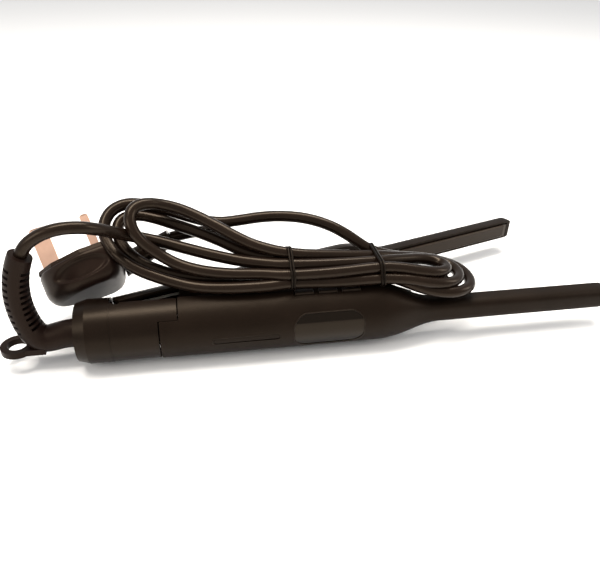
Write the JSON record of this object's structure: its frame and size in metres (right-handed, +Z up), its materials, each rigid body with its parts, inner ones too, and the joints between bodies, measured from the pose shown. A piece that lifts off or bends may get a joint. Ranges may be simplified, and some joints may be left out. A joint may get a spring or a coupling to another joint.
{
  "type": "hair straightener",
  "caption": "Slim hand-held hair straightener lying open on its side, with two hinged arms, narrow heating plates, a display, push-buttons, a swivelling cord and a tied, folded mains lead.",
  "frame": {"origin": "on the hinge axis, at the surface the straightener lies on, which is also the outer face of the hinge pin's head", "axes": "+X along the front arm towards its tip, +Z up along the hinge axis, and the rear arm stands open towards +Y"},
  "size_m": [0.2999, 0.099, 0.071],
  "materials": {
    "soft_touch": "soft-touch matte, warm brown-black",
    "cap_plastic": "fine satin, warm brown-black",
    "relief_rubber": "matt flexible moulding, brown-black",
    "cord_pvc": "semi-gloss cord sheath, brown-black",
    "plug_plastic": "glossy moulded plug, brown-black",
    "pin_brass": "pale pinkish brass, satin",
    "plate_ceramic": "smooth ceramic-coated aluminium",
    "lens_gloss": "glossy dark window",
    "light_gloss": "smoked light guide",
    "button_plastic": "satin, brown-black",
    "spring_steel": "blackened steel, satin",
    "contact_metal": "plain brass",
    "carrier_plastic": "heat-resistant moulding",
    "heater_ceramic": "fired ceramic",
    "pad_silicone": "heat-resistant silicone",
    "lead_silicone": "silicone-sleeved wire",
    "board_laminate": "circuit board",
    "tie_coating": "plastic-coated wire"
  },
  "bodies": {
    "front_arm": {"button_switches": "board_laminate", "contact_brushes": "contact_metal", "control_board": "board_laminate", "cord_far_loop": "cord_pvc", "cord_hank": "cord_pvc", "cord_tie_left": "tie_coating", "cord_tie_right": "tie_coating", "display_lens": "lens_gloss", "display_module": "board_laminate", "earth_pin": "pin_brass", "end_cap": "cap_plastic", "front_cover": "soft_touch", "front_cover_screws": "spring_steel", "front_heater_leads": "lead_silicone", "front_plate_pads": "pad_silicone", "front_shell": "soft_touch", "fuse_carrier": "plug_plastic", "hinge_housing": "cap_plastic", "hinge_pin": "spring_steel", "hinge_spring": "spring_steel", "light_bar": "light_gloss", "line_pin": "pin_brass", "neutral_pin": "pin_brass", "pin_retainer": "spring_steel", "plug_body": "plug_plastic", "plug_cord": "cord_pvc", "plug_face": "plug_plastic", "plug_fuse": "heater_ceramic", "plug_sleeve": "cord_pvc", "supply_cord": "cord_pvc", "swivel_bush": "carrier_plastic"},
    "rear_arm": {"rear_shell": "soft_touch", "rear_cover": "soft_touch", "rear_cover_screws": "spring_steel", "rear_plate_pads": "pad_silicone", "rear_heater_leads": "lead_silicone"},
    "front_plate_unit": {"front_heating_plate": "plate_ceramic", "front_heater": "heater_ceramic", "front_plate_carrier": "carrier_plastic"},
    "rear_plate_unit": {"rear_heating_plate": "plate_ceramic", "rear_heater": "heater_ceramic", "rear_plate_carrier": "carrier_plastic"},
    "cord_swivel": {"strain_relief": "relief_rubber", "swivel_core": "carrier_plastic", "slip_rings": "contact_metal"},
    "minus_button": {"minus_button": "button_plastic"},
    "plus_button": {"plus_button": "button_plastic"},
    "power_button": {"power_button": "button_plastic"}
  },
  "joints": [
    {"name": "arm_hinge", "type": "hinge", "parent": "front_arm", "child": "rear_arm", "pos_m": [0, 0, 0], "axis": [0, 0, 1], "range_deg": [-17.6, 0], "stiffness_Nm_per_rad": 0.15, "springref_deg": 20.05, "deforming": ["hinge_spring"]},
    {"name": "front_plate_float", "type": "slide", "parent": "front_arm", "child": "front_plate_unit", "axis": [0, -1, 0], "range_m": [0, 0.0006], "stiffness_N_per_m": 4000, "springref_m": -0.0003, "deforming": ["front_plate_pads"]},
    {"name": "rear_plate_float", "type": "slide", "parent": "rear_arm", "child": "rear_plate_unit", "axis": [-0.3024, 0.9532, 0], "range_m": [0, 0.0006], "stiffness_N_per_m": 4000, "springref_m": -0.0003, "deforming": ["rear_plate_pads"]},
    {"name": "cord_turn", "type": "hinge", "parent": "front_arm", "child": "cord_swivel", "pos_m": [-0.0185, 0, 0.0155], "axis": [1, 0, 0], "range_deg": [-15, 15], "stiffness_Nm_per_rad": 0.03, "deforming": ["supply_cord"]},
    {"name": "minus_press", "type": "slide", "parent": "front_arm", "child": "minus_button", "axis": [0, 0, -1], "range_m": [0, 0.0006], "stiffness_N_per_m": 800, "springref_m": -0.0006},
    {"name": "plus_press", "type": "slide", "parent": "front_arm", "child": "plus_button", "axis": [0, 0, -1], "range_m": [0, 0.0006], "stiffness_N_per_m": 800, "springref_m": -0.0006},
    {"name": "power_press", "type": "slide", "parent": "front_arm", "child": "power_button", "axis": [0, 0, -1], "range_m": [0, 0.0006], "stiffness_N_per_m": 800, "springref_m": -0.0006}
  ]
}
